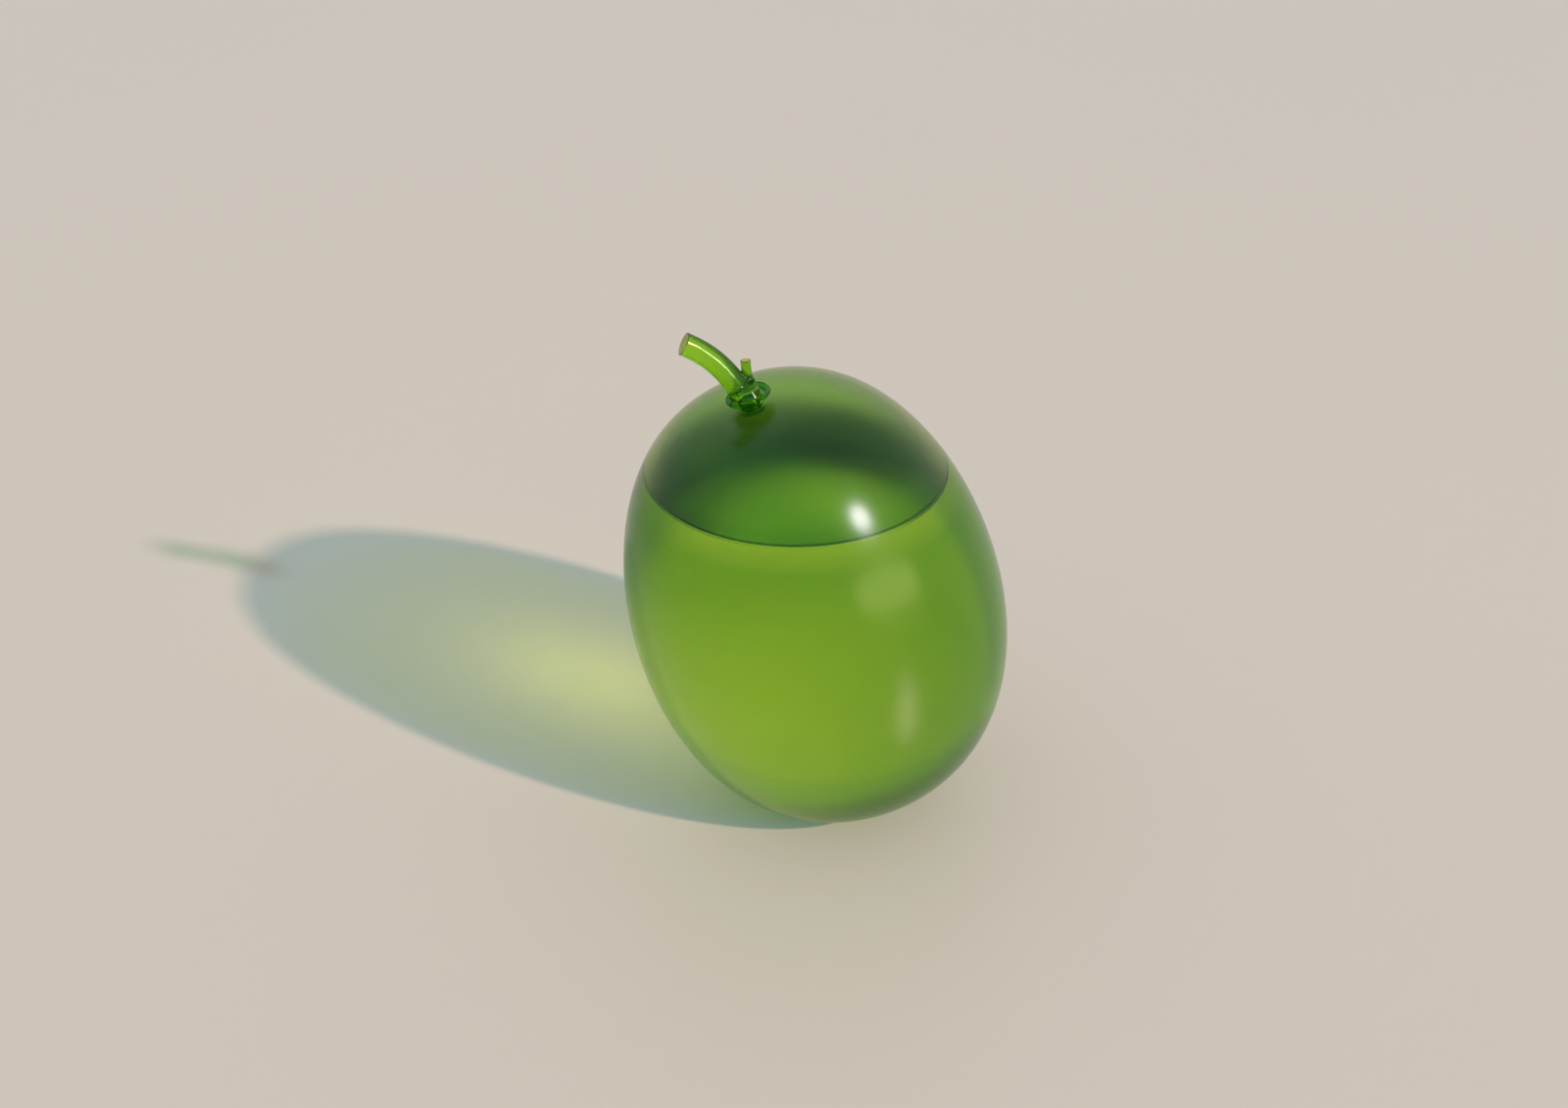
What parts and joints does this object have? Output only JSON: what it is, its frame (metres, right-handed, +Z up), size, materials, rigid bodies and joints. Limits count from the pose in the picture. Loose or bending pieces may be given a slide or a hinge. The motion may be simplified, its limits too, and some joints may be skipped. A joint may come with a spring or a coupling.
{
  "type": "glass olive",
  "caption": "Leaning green glass olive that stands on a small flat spot, part filled with clear green liquid, with a flared collar and a short bent stem with a cut side spur.",
  "frame": {"origin": "in the flat spot, on the surface the olive stands on, straight below where its rounded bottom would touch", "axes": "+Z up; the olive leans towards -X, and a little towards -Y"},
  "size_m": [0.0181, 0.0175, 0.0253],
  "materials": {
    "bulb_glass": "satin",
    "liquid": "gloss",
    "collar_glass": "gloss",
    "stem_glass": "gloss"
  },
  "bodies": {
    "root": {"bulb": "bulb_glass", "liquid_fill": "liquid", "collar": "collar_glass", "stem": "stem_glass"}
  },
  "joints": []
}
